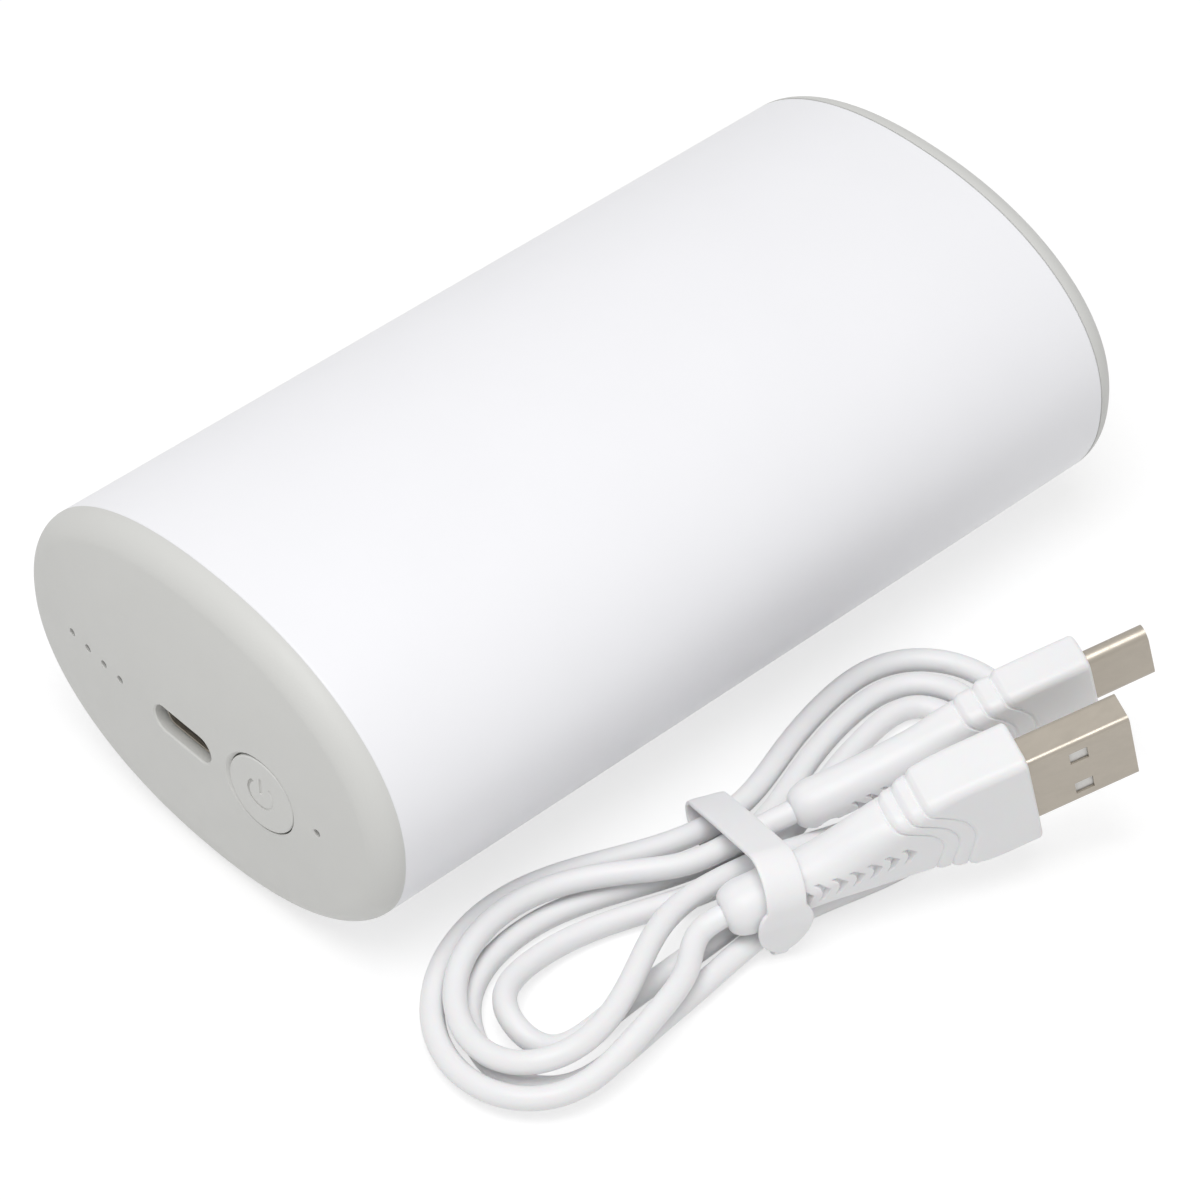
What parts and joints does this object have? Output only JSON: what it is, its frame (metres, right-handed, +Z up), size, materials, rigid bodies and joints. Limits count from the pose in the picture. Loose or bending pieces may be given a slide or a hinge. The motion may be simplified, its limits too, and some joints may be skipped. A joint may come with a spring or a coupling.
{
  "type": "rechargeable hand warmer",
  "caption": "Oval metal-sleeved hand warmer with two domed caps, a power button, a charging port and indicator lights, with its tied USB charging lead beside it.",
  "frame": {"origin": "bottom centre of the warmer's own box, on the surface it lies on", "axes": "+X across the width, to the right when facing the control face; +Y along the body, away from the control face; +Z up, the short axis of the oval section"},
  "size_m": [0.1101, 0.1298, 0.046],
  "materials": {
    "sleeve_white": "satin white coat",
    "cap_grey": "fine matt moulding",
    "button_grey": "fine matt moulding",
    "light_guide": "clear moulding",
    "cradle_black": "moulding",
    "cell_wrap": "shrink wrap",
    "nickel": "plated strip",
    "heating_film": "amber film",
    "foam": "closed-cell foam",
    "board_green": "solder mask",
    "contact_steel": "drawn shell",
    "black_insert": "moulding",
    "ferrite": "ferrite",
    "ceramic": "ceramic chips",
    "led_white": "diffuse",
    "wire_red": "wire insulation",
    "wire_black": "wire insulation",
    "wire_white": "wire insulation",
    "screw_steel": "zinc plated",
    "lead_white": "smooth satin elastomer",
    "tie_white": "soft silicone",
    "plug_tongue": "moulding",
    "contact_gold": "plated contacts"
  },
  "bodies": {
    "housing": {"outer_sleeve": "sleeve_white", "front_cap": "cap_grey", "rear_cap": "cap_grey", "battery_cradle_lower": "cradle_black", "battery_cradle_upper": "cradle_black", "battery_cell_left": "cell_wrap", "battery_cell_middle": "cell_wrap", "battery_cell_right": "cell_wrap", "nickel_strip_front": "nickel", "nickel_strip_rear": "nickel", "heating_film_top": "heating_film", "heating_film_bottom": "heating_film", "insulation_pad_top": "foam", "insulation_pad_bottom": "foam", "circuit_board": "board_green", "usb_c_receptacle_shell": "contact_steel", "usb_c_receptacle_tongue": "black_insert", "controller_chip": "black_insert", "power_inductor": "ferrite", "power_transistors": "black_insert", "capacitors": "ceramic", "battery_leds": "led_white", "heat_led": "led_white", "battery_light_pipe": "light_guide", "heat_light_pipe": "light_guide", "tact_switch_body": "black_insert", "thermistor": "black_insert", "battery_lead_positive": "wire_red", "battery_lead_negative": "wire_black", "heater_leads": "wire_white", "board_screws": "screw_steel", "cradle_screws": "screw_steel"},
    "button": {"power_button": "button_grey"},
    "switch_plunger": {"tact_switch_plunger": "led_white"},
    "charging_lead": {"lead_cord": "lead_white", "cord_tie": "tie_white", "usb_a_overmould": "lead_white", "usb_a_shell": "contact_steel", "usb_a_tongue": "plug_tongue", "usb_a_contacts": "contact_gold", "usb_c_overmould": "lead_white", "usb_c_plug_shell": "contact_steel", "usb_c_plug_insert": "black_insert"}
  },
  "joints": [
    {"name": "power_button_press", "type": "slide", "parent": "housing", "child": "button", "axis": [0, 1, 0], "range_m": [0, 0.0004], "stiffness_N_per_m": 600},
    {"name": "switch_plunger_press", "type": "slide", "parent": "housing", "child": "switch_plunger", "axis": [0, 1, 0], "range_m": [0, 0.0004]},
    {"name": "lead_lift_off", "type": "slide", "parent": "housing", "child": "charging_lead", "axis": [1, 0, 0], "range_m": [0, 0.06]}
  ],
  "couplings": [
    {"joint": "switch_plunger_press", "follows": "power_button_press", "ratio": 1}
  ]
}
